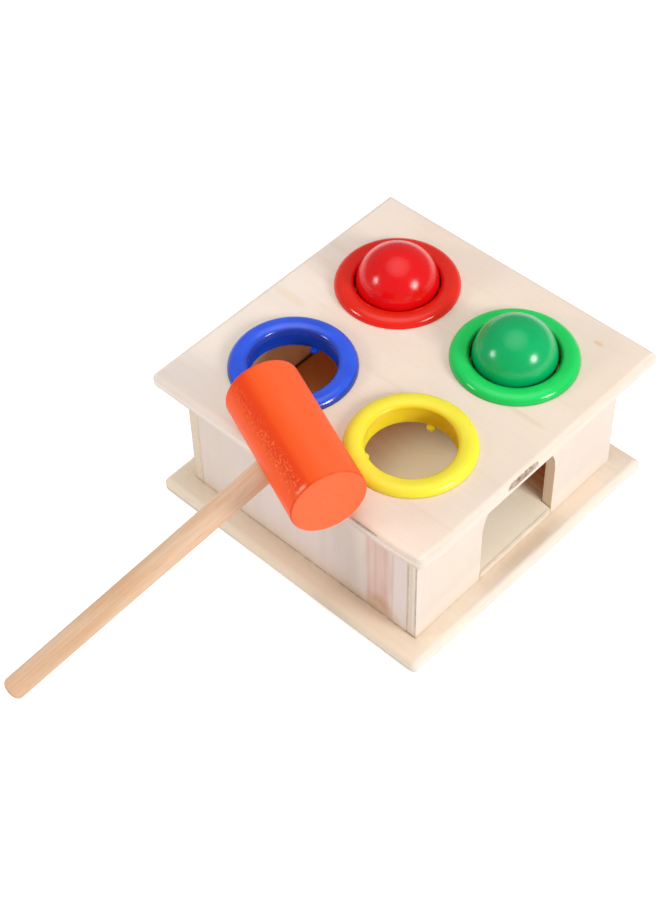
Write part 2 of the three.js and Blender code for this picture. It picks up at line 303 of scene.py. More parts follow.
class Shader:
    """A small builder for one material's nodes."""

    def __init__(self, name):
        self.mat = bpy.data.materials.new(name)
        self.mat.use_nodes = True
        self.tree = self.mat.node_tree
        self.tree.nodes.clear()
        self.out = self.tree.nodes.new("ShaderNodeOutputMaterial")

    def node(self, kind, inputs=None, **props):
        made = self.tree.nodes.new(kind)
        for key, value in props.items():
            setattr(made, key, value)
        for key, value in (inputs or {}).items():
            if isinstance(value, bpy.types.NodeSocket):
                self.tree.links.new(value, made.inputs[key])
            else:
                made.inputs[key].default_value = value
        return made

    def math(self, operation, a, b=0.0, clamp=False):
        return self.node("ShaderNodeMath", {0: a, 1: b}, operation=operation, use_clamp=clamp).outputs[0]

    def add(self, a, b):
        return self.math("ADD", a, b)

    def subtract(self, a, b):
        return self.math("SUBTRACT", a, b)

    def times(self, a, b, clamp=False):
        return self.math("MULTIPLY", a, b, clamp)

    def larger(self, a, b):
        return self.math("MAXIMUM", a, b)

    def off(self, value, place):
        """How far a value is from a place, either way."""
        return self.math("ABSOLUTE", self.subtract(value, place))

    def board(self, offset=(0, 0, 0)):
        vector = self.node("ShaderNodeAttribute", attribute_name="board").outputs["Vector"]
        return self.node("ShaderNodeVectorMath", {0: vector, 1: offset}, operation="ADD").outputs[0]

    def board_of(self, seed, x_step, y_step, z_step):
        """The board attribute moved by a seed, so that no two pieces have the same patterns."""
        return self.board((seed * x_step, seed * y_step, seed * z_step))

    def split(self, vector):
        return self.node("ShaderNodeSeparateXYZ", {0: vector}).outputs

    def noise(self, vector, scale, detail, rough=0.5, distort=0.0):
        """Noise of features 1/scale metres long on each axis, 0 to 1."""
        scaled = self.node("ShaderNodeVectorMath", {0: vector, 1: scale}, operation="MULTIPLY").outputs[0]
        return self.node("ShaderNodeTexNoise", {"Vector": scaled, "Scale": 1.0, "Detail": detail,
                                                "Roughness": rough, "Distortion": distort}).outputs["Fac"]

    def sway(self, pattern, amount):
        """Turns noise into a push of up to half the amount either way."""
        return self.times(self.subtract(pattern, 0.5), amount)

    def ramp(self, value, low, high, to_low, to_high):
        """A smooth step from to_low, up to low, to to_high, from high on."""
        return self.node("ShaderNodeMapRange", {"Value": value, "From Min": low, "From Max": high,
                                                "To Min": to_low, "To Max": to_high},
                         interpolation_type="SMOOTHSTEP").outputs["Result"]

    def rise(self, value, start, full, most=1.0):
        return self.ramp(value, start, full, 0.0, most)

    def fall(self, value, full, gone, most=1.0):
        return self.ramp(value, full, gone, most, 0.0)

    def near(self, value, place, full, gone, most=1.0):
        """Full within one distance of a place, and nothing beyond another."""
        return self.fall(self.off(value, place), full, gone, most)

    def between(self, value, low, high, soft):
        """1 between two limits, each with a soft stretch on both its sides."""
        above = self.rise(value, low - soft, low + soft)
        return self.times(above, self.fall(value, high - soft, high + soft))

    def outwards(self, axes, power):
        """How far out a point lies in a rounded spot: 0 in its middle and 1 on its outline. axes holds a
        value, the spot's middle and its half size, in millimetres, for each axis."""
        far = None
        for value, middle, half in axes:
            share = self.math("DIVIDE", self.subtract(value, middle * MM), half * MM)
            raised = self.math("POWER", share, power)
            far = raised if far is None else self.add(far, raised)
        return far

    def mix(self, factor, a, b):
        made = self.node("ShaderNodeMix", data_type="RGBA", blend_type="MIX")
        for key, value in ((0, factor), (6, a), (7, b)):
            if isinstance(value, bpy.types.NodeSocket):
                self.tree.links.new(value, made.inputs[key])
            else:
                made.inputs[key].default_value = value if key == 0 else (*value, 1.0)
        return made.outputs[2]

    def bump(self, height, distance, strength):
        return self.node("ShaderNodeBump", {"Height": height, "Distance": distance,
                                            "Strength": strength}).outputs["Normal"]

    def finish(self, color, roughness, normal, **sockets):
        inputs = {"Base Color": color, "Roughness": roughness, "Normal": normal}
        inputs.update({key.replace("_", " "): value for key, value in sockets.items()})
        principled = self.node("ShaderNodeBsdfPrincipled", inputs)
        self.tree.links.new(principled.outputs[0], self.out.inputs[0])
        return self.mat


# What makes one board differ from another, in millimetres. A Patch is a tinted spot on the face, a Strip a
# ply that shows along the edge beyond start, a Void a gap in a ply, and a Foot the dark joint round a square
# that is glued on, dirty and in painted shade, with half its width from the board's middle.
Patch = namedtuple("Patch", "along across half_along half_across tint strength")
Strip = namedtuple("Strip", "axis start low high tint strength")
Void = namedtuple("Void", "along across depth half_along half_across half_depth strength")
Foot = namedtuple("Foot", "half width strength")

# The wood's patterns: features per metre along the grain, across it and into the board, then detail,
# roughness and distortion
WOOD_PATTERNS = {
    "bands": ((5, 120, 120), 3, 0.55, 0.6),
    "wide": ((9, 30, 30), 2, 0.5, 0.8),
    "fibre": ((90, 1500, 1500), 3, 0.65),
    "pores": ((230, 2600, 2600), 1),
    "cloud": ((26, 30, 30), 3, 0.6),
    "blush": ((14, 22, 22), 2),
    "inner_fibre": ((1700, 120, 900), 3, 0.6),
    "ragged": ((300, 300, 300), 2, 0.6),
    "patch_edge": ((40, 400, 400), 3),
    "void_edge": ((900, 700, 900), 2),
    "void_fibre": ((700, 420, 1100), 3, 0.7),
}


class Plywood(Shader):
    """Sanded plywood, whose board attribute runs along the face grain, across it, and into the board from one
    face. The methods paint it in order, and a seed moves its patterns."""

    def __init__(self, name, seed):
        super().__init__(name)
        self.along, self.across, self.depth = self.split(self.board())
        self.moved = self.board_of(seed, 0.37, 0.91, 0.13)
        self.moved_blush = self.board_of(seed, 0.59, 0.23, 0.71)
        self.bands = self.pattern("bands")
        self.fibre = self.pattern("fibre")
        self.pores = self.pattern("pores")
        self.cloud = self.pattern("cloud")
        self.inner_fibre = self.pattern("inner_fibre")
        self.ragged = self.pattern("ragged")
        self.level = self.add(self.depth, self.sway(self.cloud, 0.6 * MM))

    def pattern(self, key):
        return self.noise(self.moved_blush if key == "blush" else self.moved, *WOOD_PATTERNS[key])

    def veneer(self, tones, grain):
        """The face: pale and warm stretches, pink clouds, a yellow blush, darker bands, fibre and pores."""
        pale, warm, deep = tones
        color = self.mix(self.rise(self.pattern("wide"), 0.32, 0.68), pale, warm)
        color = self.mix(self.rise(self.cloud, 0.42, 0.72, 0.6), color, tinged(pale, (1.0, 0.95, 0.94)))
        color = self.mix(self.rise(self.pattern("blush"), 0.45, 0.68, 0.6), color,
                         tinged(pale, (0.985, 0.985, 0.90)))
        color = self.mix(self.rise(self.bands, 0.50, 0.78, 0.45 * grain), color, deep)
        color = self.mix(self.rise(self.fibre, 0.25, 0.8, 0.22 * grain), color, deep)
        return self.mix(self.rise(self.pores, 0.64, 0.80, 0.20 * grain), color, darker(deep, 0.66))

    def inner_plies(self, color, core, glue_lines):
        """What lies between the two glue lines, seen on the edges: cross grain."""
        soft = 0.05 * MM
        upper, lower = (line * MM for line in glue_lines)
        self.inner = self.between(self.level, upper, lower, soft)
        fibrous = self.mix(self.rise(self.inner_fibre, 0.3, 0.75), core, darker(core, 0.88))
        return self.mix(self.inner, color, fibrous)

    def edge_strips(self, color, strips):
        """Plies whose own colour shows along one edge."""
        soft, soft_start = 0.2 * MM, 0.5 * MM
        for axis, start, low, high, tint, strength in strips:
            place = self.along if axis == "along" else self.across
            beyond = self.fall(place, start * MM - soft_start, start * MM + soft_start)
            strip = self.times(beyond, self.between(self.level, low * MM, high * MM, soft))
            worn = self.times(strip, self.ramp(self.ragged, 0.3, 0.6, 0.75 * strength, strength))
            fibrous = self.mix(self.rise(self.inner_fibre, 0.3, 0.75), tint, darker(tint, 0.93))
            color = self.mix(worn, color, fibrous)
        return color

    def glue(self, color, core, glue_lines, strength):
        """A thin broken line, darker than the plies, at each glued joint."""
        full, gone = 0.04 * MM, 0.22 * MM
        self.joints = self.larger(*(self.near(self.level, line * MM, full, gone) for line in glue_lines))
        broken = self.ramp(self.ragged, 0.35, 0.65, 0.45 * strength, 1.5 * strength)
        return self.mix(self.times(self.joints, broken), color, darker(core, 0.55))

    def painted_inner_shade(self, color, tint, start, full):
        """A face inside the box, in painted shade: a deep orange brown with streaks, and without sheen."""
        self.inside_shade = self.rise(self.depth, start * MM, full * MM)
        streaks = self.rise(self.bands, 0.4, 0.7, 0.5)
        return self.mix(self.inside_shade, color, self.mix(streaks, tint, darker(tint, 0.8)))

    def patches(self, color, patches):
        """Tinted spots, those that run right across the board with a straighter edge."""
        whole_board, straight, ragged = 60, 0.25, 1.3
        torn = self.pattern("patch_edge") if patches else None
        for along, across, half_along, half_across, tint, strength in patches:
            far = self.outwards([(self.along, along, half_along), (self.across, across, half_across)], 2)
            far = self.add(far, self.sway(torn, straight if half_across > whole_board else ragged))
            color = self.mix(self.times(self.fall(far, 0.1, 1.2), strength), color, tint)
        return color

    def voids(self, color, voids):
        """Gaps in a ply, torn at the edge, with dark and pale fibre in them."""
        dark, pale = (0.22, 0.14, 0.095), (0.50, 0.375, 0.29)
        self.dents = None
        for void in voids:
            far = self.outwards([(self.along, void.along, void.half_along),
                                 (self.across, void.across, void.half_across),
                                 (self.depth, void.depth, void.half_depth)], 4)
            far = self.add(far, self.sway(self.pattern("void_edge"), 1.8))
            torn = self.times(self.fall(far, 0.5, 1.1), void.strength)
            fibrous = self.mix(self.rise(self.pattern("void_fibre"), 0.36, 0.62), dark, pale)
            color = self.mix(torn, color, fibrous)
            self.dents = torn if self.dents is None else self.larger(self.dents, torn)
        return color

    def foot_dirt_and_shade(self, color, feet):
        """Dirt and painted contact shade in the joint round what is glued on, strongest on the side that the
        hammer leans on.
        """
        dirt_and_shade_tone = (0.36, 0.22, 0.11)
        for half, width, strength in feet:
            out = self.larger(self.math("ABSOLUTE", self.along), self.math("ABSOLUTE", self.across))
            close = self.fall(self.off(out, half * MM), 0.0, width * MM)
            close = self.times(close, self.ramp(self.across, -50 * MM, -46 * MM, 1.0, 0.25))
            broken = self.ramp(self.ragged, 0.3, 0.7, 0.3 * strength, 1.2 * strength)
            color = self.mix(self.times(close, broken, clamp=True), color, dirt_and_shade_tone)
        return color

    def relief(self):
        """Raised fibre, sunk pores and glue lines, rough inner plies and deep voids."""
        height = self.add(self.times(self.fibre, 0.7), self.times(self.pores, -0.6))
        height = self.subtract(height, self.times(self.joints, 1.2))
        height = self.add(height, self.times(self.times(self.inner, self.inner_fibre), 1.5))
        if self.dents is not None:
            height = self.subtract(height, self.times(self.dents, 14))
        return self.bump(height, distance=0.04 * MM, strength=0.5)


def wood(name, tones, core, glue_lines, seed, grain, glue_strength, sheen=0.25, inside=None, strips=(),
         patches=(), voids=(), feet=()):
    """One board's plywood. tones are the veneer's pale, warm and deep colours and core the inner plies';
    glue_lines are the depths of the two glue lines; inside is (colour, depth from, depth to) of a face inside
    the box, painted in that colour as its shade."""
    s = Plywood(name, seed)
    color = s.veneer(tones, grain)
    color = s.inner_plies(color, core, glue_lines)
    color = s.edge_strips(color, strips)
    color = s.glue(color, core, glue_lines, glue_strength)
    # Painted shade on a face inside the box, which also loses its sheen
    if inside:
        color = s.painted_inner_shade(color, *inside)
        sheen = s.subtract(sheen, s.times(s.inside_shade, sheen))
    color = s.patches(color, patches)
    color = s.voids(color, voids)
    color = s.foot_dirt_and_shade(color, feet)
    rough = s.ramp(s.fibre, 0.2, 0.8, 0.52, 0.68)
    return s.finish(color, rough, s.relief(), Specular_IOR_Level=sheen)


def ring_plastic(name, ring, seed):
    """Glossy moulded plastic: faint flow marks, a slightly wavy skin and dust. It turns to its painted shade
    inside the hole, down to the nubs, and along the foot of the lip, and it doesn't mirror below the top
    board's face."""
    s = Shader(name)
    at = s.board_of(seed, 0.21, 0.47, 0.33)
    flow = s.noise(at, (70, 70, 160), detail=3, distort=0.4)
    skin = s.noise(at, (240, 240, 240), detail=2)
    dust = s.noise(at, (2600, 2600, 2600), detail=1)
    x, y, height = s.split(s.board())
    radius = s.math("SQRT", s.add(s.times(x, x), s.times(y, y)))
    # Painted shade down the inside of the hole to the nubs, along the foot of the lip and round its rim
    in_hole = s.fall(radius, 14.9 * MM, 16.4 * MM, ring.throat)
    over_nubs = s.rise(height, -5.7 * MM, -5.0 * MM)
    near_rim = s.rise(radius, 19.5 * MM, 20.5 * MM)
    at_foot = s.fall(height, 0.3 * MM, 1.2 * MM, ring.foot)
    on_rim = s.rise(radius, 20.4 * MM, 21.2 * MM, 0.6 * ring.foot)
    shaded = s.larger(s.times(in_hole, over_nubs), s.larger(s.times(near_rim, at_foot), on_rim))
    above = s.rise(height, -1.0 * MM, 1.0 * MM)
    tone = s.mix(s.rise(flow, 0.35, 0.7, 0.5), ring.tone, ring.dark)
    tone = s.mix(shaded, tone, ring.shade)
    rough = s.add(s.ramp(skin, 0.3, 0.75, 0.11, 0.19), s.rise(dust, 0.66, 0.8, 0.12))
    rough = s.add(rough, s.ramp(above, 0, 1, 0.2, 0.12 * ring.clear))
    normal = s.bump(skin, distance=0.16 * MM, strength=0.4)
    return s.finish(tone, rough, normal, Specular_IOR_Level=s.times(above, ring.gloss),
                    Subsurface_Weight=ring.clear, Subsurface_Radius=tuple(0.15 + c for c in ring.tone),
                    Subsurface_Scale=2.5 * MM)


def ball_paint(name, ball, seed):
    """Gloss paint on a turned wooden ball: orange peel, slow waves of the wood under it, a few specks, and
    painted shade in a band just below the middle, where the ball sits in its ring."""
    s = Shader(name)
    at = s.board_of(seed, 0.17, 0.29, 0.41)
    peel = s.noise(at, (420, 420, 420), detail=2)
    slow = s.noise(at, (95, 95, 95), detail=2)
    speck = s.noise(at, (1900, 1900, 1900), detail=1)
    # Painted shade in a band just below the middle, where the ball sits in its ring
    band_height = -3.0 * MM
    band = s.near(s.split(s.board())[2], band_height, 0.6 * MM, 4.0 * MM, 0.9)
    tone = s.mix(s.rise(slow, 0.3, 0.7, 0.5), ball.tone, ball.dark)
    tone = s.mix(s.rise(speck, 0.72, 0.8, 0.35), tone, ball.dark)
    tone = s.mix(band, tone, ball.rubbed)
    normal = s.bump(s.add(s.times(peel, 0.3), slow), distance=0.28 * MM, strength=0.30)
    return s.finish(tone, s.ramp(peel, 0.3, 0.7, 0.15, 0.22), normal, Specular_IOR_Level=0.36)


def head_paint(name, seed):
    """Satin paint on the turned head, with the wood's fibre showing through it lengthwise. Painted sheen
    lightens its upper side, a painted shade streak runs along one side with a stretch darkened for shade and
    specked beside it, and the ends are painted lighter for the light on them. The paint is thin on the rims,
    with one scuff."""
    side, lit_end_tone = (0.92, 0.088, 0.006), (0.92, 0.143, 0.046)
    deep, light = (0.84, 0.048, 0.004), (0.95, 0.140, 0.040)
    thin, thin_spot, thin_pit = (0.74, 0.050, 0.010), (1.0, 0.185, 0.055), (0.50, 0.022, 0.003)
    rim_tone, scuff_tone = (0.60, 0.03, 0.006), (0.93, 0.42, 0.25)
    degree = math.radians(1)
    light_from, light_to = 45 * degree, 84 * degree
    streak_at, worn_at, scuff_at = 95 * degree, 106 * degree, 99 * degree
    scuff_along = -23.8 * MM

    s = Shader(name)
    at = s.board_of(seed, 0.11, 0, 0)
    along, side_x, side_z = s.split(s.board())
    fibre = s.noise(at, (60, 900, 900), detail=3, rough=0.6)
    speck = s.noise(at, (900, 1500, 1500), detail=2, rough=0.65)
    cloud = s.noise(at, (30, 90, 90), detail=2, distort=0.3)
    angle = s.add(s.math("ARCTAN2", side_z, side_x), s.sway(cloud, 0.35))
    out = s.math("ABSOLUTE", along)

    # The side: painted sheen on its upper part, a painted shade streak, and beside it a specked stretch
    # darkened for shade
    worn = s.near(angle, worn_at, 3 * degree, 19 * degree)
    spots = s.times(s.rise(speck, 0.53, 0.65), s.times(worn, s.ramp(along, 22 * MM, -12 * MM, 0.35, 1.0)))
    color = s.mix(s.rise(cloud, 0.35, 0.7, 0.35), side, light)
    # Painted sheen, lighter where the side faces up to the lamps
    color = s.mix(s.fall(angle, light_from, light_to, 0.85), color, light)
    color = s.mix(s.rise(fibre, 0.4, 0.8, 0.10), color, deep)
    # Painted shade, the dark streak where no lamp is mirrored
    color = s.mix(s.near(angle, streak_at, 3 * degree, 17 * degree, 0.85), color, deep)
    color = s.mix(s.times(worn, 0.35), color, thin)
    color = s.mix(s.times(spots, 0.9), color, thin_spot)
    color = s.mix(s.times(s.times(s.fall(speck, 0.30, 0.40), worn), 0.6), color, thin_pit)

    # The ends, painted lighter for the light on them, the rims and the scuff
    end = s.rise(out, (HEAD_HALF - 0.45) * MM, (HEAD_HALF - 0.1) * MM)
    color = s.mix(end, color, s.mix(s.rise(speck, 0.4, 0.7, 0.2), lit_end_tone, side))
    rim = s.near(out, (HEAD_HALF - 0.5) * MM, 0.1 * MM, 0.5 * MM)
    color = s.mix(s.times(rim, s.ramp(cloud, 0.4, 0.6, 0.2, 0.6)), color, rim_tone)
    scuff = s.times(s.near(along, scuff_along, 0.2 * MM, 1.0 * MM), s.near(angle, scuff_at, 0.06, 0.22))
    scuff = s.times(scuff, s.rise(speck, 0.32, 0.5))
    color = s.mix(s.times(scuff, 0.65), color, scuff_tone)

    height = s.add(s.times(fibre, 0.6), s.times(s.subtract(speck, spots), 0.7))
    rough = s.ramp(speck, 0.3, 0.75, 0.42, 0.55)
    normal = s.bump(height, distance=0.07 * MM, strength=0.5)
    return s.finish(color, rough, normal, Specular_IOR_Level=0.14)


def dowel(name, seed):
    """Bare beech dowel: soft lengthwise streaks, short ray flecks, slightly fuzzy skin, a darker sawn end."""
    pale, warm, deep = (0.76, 0.535, 0.370), (0.68, 0.430, 0.255), (0.50, 0.300, 0.185)
    mottle_tone, end_pale, end_dark = (0.74, 0.42, 0.235), (0.58, 0.34, 0.18), (0.46, 0.26, 0.13)
    s = Shader(name)
    at = s.board_of(seed, 0.2, 0.05, 0.07)
    streak = s.noise(at, (7, 420, 420), detail=3, rough=0.6, distort=0.4)
    broad = s.noise(at, (14, 150, 150), detail=2)
    fleck = s.noise(at, (260, 1700, 1700), detail=1)
    fibre = s.noise(at, (60, 2200, 2200), detail=2, rough=0.6)
    mottle = s.noise(at, (45, 260, 260), detail=2, rough=0.6, distort=0.5)
    end_rings = s.noise(at, (40, 900, 900), detail=2)
    color = s.mix(s.rise(broad, 0.35, 0.65), pale, warm)
    color = s.mix(s.rise(mottle, 0.42, 0.62, 0.5), color, mottle_tone)
    color = s.mix(s.rise(streak, 0.45, 0.75, 0.40), color, deep)
    color = s.mix(s.rise(fleck, 0.64, 0.76, 0.22), color, darker(deep, 0.75))
    color = s.mix(s.rise(fibre, 0.3, 0.8, 0.3), color, deep)
    end = s.rise(s.split(s.board())[0], (HANDLE_REACH - HANDLE_EDGE) * MM, (HANDLE_REACH - 0.2) * MM)
    color = s.mix(end, color, s.mix(s.rise(end_rings, 0.35, 0.65), end_pale, end_dark))
    height = s.subtract(fibre, s.rise(fleck, 0.6, 0.75, 0.8))
    rough = s.ramp(fibre, 0.3, 0.8, 0.50, 0.66)
    normal = s.bump(height, distance=0.06 * MM, strength=0.6)
    return s.finish(color, rough, normal, Specular_IOR_Level=0.2)


# Boards

# Veneer tones, as linear colours: pale, warm, deep
TOP_TONES = ((0.880, 0.757, 0.645), (0.840, 0.685, 0.570), (0.710, 0.545, 0.430))
BASE_TONES = ((0.885, 0.785, 0.665), (0.870, 0.715, 0.550), (0.760, 0.560, 0.380))
FRONT_TONES = ((0.730, 0.642, 0.575), (0.720, 0.612, 0.528), (0.670, 0.550, 0.460))
LEFT_TONES = ((0.785, 0.698, 0.660), (0.760, 0.655, 0.605), (0.680, 0.560, 0.495))
PLAIN_TONES = ((0.830, 0.710, 0.580), (0.800, 0.660, 0.520), (0.680, 0.530, 0.400))
RAMP_TONES = ((0.960, 0.890, 0.745), (0.950, 0.850, 0.680), (0.880, 0.720, 0.520))

# Inner plies of the two boards, the walls and the ramp, then the painted shade of the faces inside the box
BOARD_CORE = (0.810, 0.690, 0.580)
WALL_CORE = (0.80, 0.675, 0.54)
RAMP_CORE = (0.90, 0.76, 0.60)
INNER_SHADE = (0.840, 0.400, 0.110)
BACK_INNER_SHADE = (0.900, 0.600, 0.330)

# Depths of the glue lines
BOARD_GLUE_LINES = (0.9, 5.1)
WALL_GLUE_LINES = (0.3, 3.5)
RAMP_GLUE_LINES = (0.7, 2.9)


def top_board():
    """The board with the four holes, sawn a little out of square and sanded back at its front left corner."""
    left, front = 2.0 - BOARD_HALF, 2.0 - BOARD_HALF
    strips = [
        Strip("across", left, 0.5, 2.1, (0.79, 0.68, 0.58), 0.8),
        Strip("across", left, 2.1, 2.9, (0.93, 0.82, 0.74), 0.95),
        # The lower plies along the left edge are painted darker for the shade that falls there
        Strip("across", left, 3.6, 6.1, (0.66, 0.575, 0.52), 0.8),
        Strip("along", front, 0.4, 2.3, (0.735, 0.63, 0.55), 0.85),
        Strip("along", front, 2.3, 6.1, (0.750, 0.655, 0.585), 0.95),
    ]
    patches = [
        # Pale at the back and on the left, warmer along the front
        Patch(52, -20, 20, 50, (0.90, 0.82, 0.75), 0.5),
        Patch(20, -52, 50, 14, (0.93, 0.84, 0.77), 0.5),
        Patch(-52, 0, 26, 60, (0.80, 0.66, 0.53), 0.35),
        Patch(50, 38, 16, 28, (0.93, 0.86, 0.79), 0.25),
        # Two brown streaks and a rust spot
        Patch(-44, 8, 10, 1.2, (0.74, 0.52, 0.36), 0.35),
        Patch(48.5, -3, 9, 2.2, (0.80, 0.60, 0.40), 0.35),
        Patch(-42, 48.8, 2.2, 1.0, (0.78, 0.45, 0.25), 0.5),
    ]
    voids = [
        Void(-BOARD_HALF, -10.4, 1.7, 3.0, 7.4, 1.1, 1.0),
        Void(-36, -BOARD_HALF, 1.2, 5.5, 3.0, 0.3, 0.7),
    ]
    # The underside is inside the box, in painted shade
    underside_shade = (INNER_SHADE, BOARD_THICK - 0.2, BOARD_THICK - 0.05)
    mat = wood("top_board_ply", TOP_TONES, BOARD_CORE, BOARD_GLUE_LINES, seed=3, grain=0.8,
               glue_strength=0.10, inside=underside_shade, strips=strips, patches=patches, voids=voids)
    half, sanded = BOARD_HALF, 10.5
    corners = [(half - 0.1, -half), (half - 0.6, half - 0.95), (-half - 0.3, half - 1.1),
               (-half, sanded - half), (0.9 - half, 1.1 - half), (sanded - half, -half)]
    corner_radii = (1.2, 1.2, 1.9, 12, 2.4, 12)
    rings_at = [middle(color + "_ring") for color in RINGS]
    holes = [round_hole(at.x, at.y, HOLE_RADIUS, HOLE_STEPS) for at in rings_at]
    bm = plate(sawn(corners, corner_radii), holes, BOARD_THICK, BOARD_EDGE, HOLE_EDGE, EDGE_STEPS,
               lambda p: p + Vector((0, 0, TOP_LOW)))
    finish_piece("top_board_wood", bm, "bench", "top_board", mat, lambda p: (p.y, p.x, TOP_HIGH - p.z))


def base_board():
    """The board that everything stands on, sawn a little out of square too."""
    left, front = 1.8 - BOARD_HALF, 3.2 - BOARD_HALF
    strips = [
        Strip("across", left, 0.4, 2.9, (0.87, 0.76, 0.585), 0.8),
        Strip("across", left, 3.1, 6.1, (0.62, 0.565, 0.49), 0.9),
        Strip("along", front, -1, 6.1, (0.83, 0.745, 0.655), 0.75),
    ]
    patches = [
        # Darker along the left edge, then along the front: brown before the door, pale on both its sides
        Patch(-8, -57, 46, 8, (0.84, 0.70, 0.535), 0.75),
        Patch(-54, 2, 3.2, 17, (0.76, 0.61, 0.44), 0.6),
        Patch(-54, 32, 6, 14, (0.95, 0.80, 0.64), 0.5),
        Patch(-54, -38, 6, 12, (0.92, 0.80, 0.62), 0.4),
    ]
    # Dirt and painted contact shade round the walls' feet: a dark line at the joint and a wide faint spread
    feet = [Foot(WALL_HALF, 0.8, 0.5), Foot(WALL_HALF, 5.0, 0.12)]
    mat = wood("base_board_ply", BASE_TONES, BOARD_CORE, BOARD_GLUE_LINES, seed=11, grain=1.0,
               glue_strength=0.10, strips=strips, patches=patches, feet=feet)
    half = BOARD_HALF
    corners = [(half - 0.1, -half - 0.2), (half - 0.4, half - 0.3), (-half - 0.2, half - 0.3),
               (-half - 0.3, 1.1 - half)]
    corner_radii = (1.6, 1.6, 2.0, 2.0)
    bm = plate(sawn(corners, corner_radii), [], BOARD_THICK, BOARD_EDGE, 0, EDGE_STEPS, lambda p: p)
    finish_piece("base_board_wood", bm, "bench", "base_board", mat, lambda p: (p.y, p.x, BOARD_THICK - p.z))


def wall_outline(width, door=False):
    """A wall as it stands, from the middle of its foot, with the door's notch if it has one."""
    r, side, height = WALL_CORNER, width / 2, WALL_HIGH - WALL_LOW
    corner_steps = 4
    corners = [(side - r, r, -1), (side - r, height - r, 0), (r - side, height - r, 1), (r - side, r, 2)]
    loop = []
    for x, y, quarter in corners:
        loop += arc(x, y, r, quarter * QUARTER, (quarter + 1) * QUARTER, corner_steps)
    if door:
        arch = arc(0, DOOR_JAMB, DOOR_HALF, math.pi, 0, DOOR_STEPS)
        loop += [Vector((-DOOR_HALF, 0))] + arch + [Vector((DOOR_HALF, 0))]
    return loop


def wall(node, outline, turn, tones, inside_shade, seed, grain=1.0, glue_strength=0.35, marks=()):
    """One wall, turned about Z from the front wall's place. Its outline stands up, and its depth runs from
    the inner face to the outer one."""
    rotate = Matrix.Rotation(turn, 3, "Z")
    back = rotate.transposed()

    def place(p):
        return rotate @ Vector((p.x, WALL_THICK - WALL_HALF - p.z, p.y + WALL_LOW))

    def coords(p):
        q = back @ p
        return (q.z - WALL_LOW, q.x, q.y + WALL_HALF)

    sawn_end = 1.0 - WALL_HALF
    strips = [
        # The dark line by the outer arris is painted shade at the corner
        Strip("across", sawn_end, 0.3, 0.8, (0.54, 0.45, 0.38), 0.55),
        Strip("across", sawn_end, 0.9, 1.7, (0.86, 0.77, 0.69), 0.7),
        Strip("across", sawn_end, 1.8, 3.0, (0.74, 0.64, 0.54), 0.7),
        Strip("across", sawn_end, 3.2, 3.9, (0.72, 0.50, 0.31), 0.4),
    ]
    # The inner face is in painted shade
    mat = wood(node + "_ply", tones, WALL_CORE, WALL_GLUE_LINES, seed, grain, glue_strength,
               inside=(inside_shade, WALL_THICK - 0.12, WALL_THICK - 0.04), strips=strips, patches=marks)
    bm = plate(stepped(outline), [], WALL_THICK, WALL_EDGE, 0, THIN_EDGE_STEPS, place)
    finish_piece(node + "_wood", bm, "bench", node, mat, coords)


def walls():
    side_width = WALL_BOX - 2 * WALL_THICK - SIDE_WALL_GAP
    pink, rust, grey = (0.70, 0.455, 0.375), (0.56, 0.31, 0.20), (0.66, 0.56, 0.53)
    left_marks = [
        # The pink band, with rust lines in it and beside it
        Patch(22, 34.4, 70, 6.4, pink, 0.68),
        Patch(30, 30.2, 60, 0.7, rust, 0.22),
        Patch(26, 33.4, 70, 0.5, rust, 0.22),
        Patch(34, 37.6, 40, 0.9, rust, 0.20),
        Patch(24, 40.6, 60, 0.7, rust, 0.28),
        Patch(8, 37.0, 12, 2.4, rust, 0.22),
        # Brown at the foot
        Patch(-1, 35.5, 11, 8, (0.50, 0.25, 0.10), 0.55),
        Patch(-1, 24, 6, 9, (0.56, 0.36, 0.22), 0.3),
        # Two grey lines, and the warmer foot of the whole wall
        Patch(24, 10, 70, 2.0, grey, 0.4),
        Patch(24, -20, 70, 3.0, (0.70, 0.61, 0.57), 0.4),
        Patch(0, -4, 7, 60, (0.80, 0.66, 0.50), 0.45),
    ]
    front_marks = [
        # Darker at the foot, and a warm line up the door's right edge
        Patch(2, 0, 9, 70, (0.84, 0.73, 0.62), 0.5),
        Patch(17, DOOR_HALF - 0.1, 26, 0.45, (0.92, 0.74, 0.53), 0.8),
    ]
    side_outline = wall_outline(side_width)
    wall("front_wall", wall_outline(WALL_BOX, door=True), 0, FRONT_TONES, INNER_SHADE, seed=21, grain=0.35,
         glue_strength=0.9, marks=front_marks)
    wall("back_wall", wall_outline(WALL_BOX), math.pi, PLAIN_TONES, BACK_INNER_SHADE, seed=23)
    wall("right_wall", side_outline, QUARTER, PLAIN_TONES, INNER_SHADE, seed=25)
    wall("left_wall", side_outline, -QUARTER, LEFT_TONES, INNER_SHADE, seed=27, marks=left_marks)


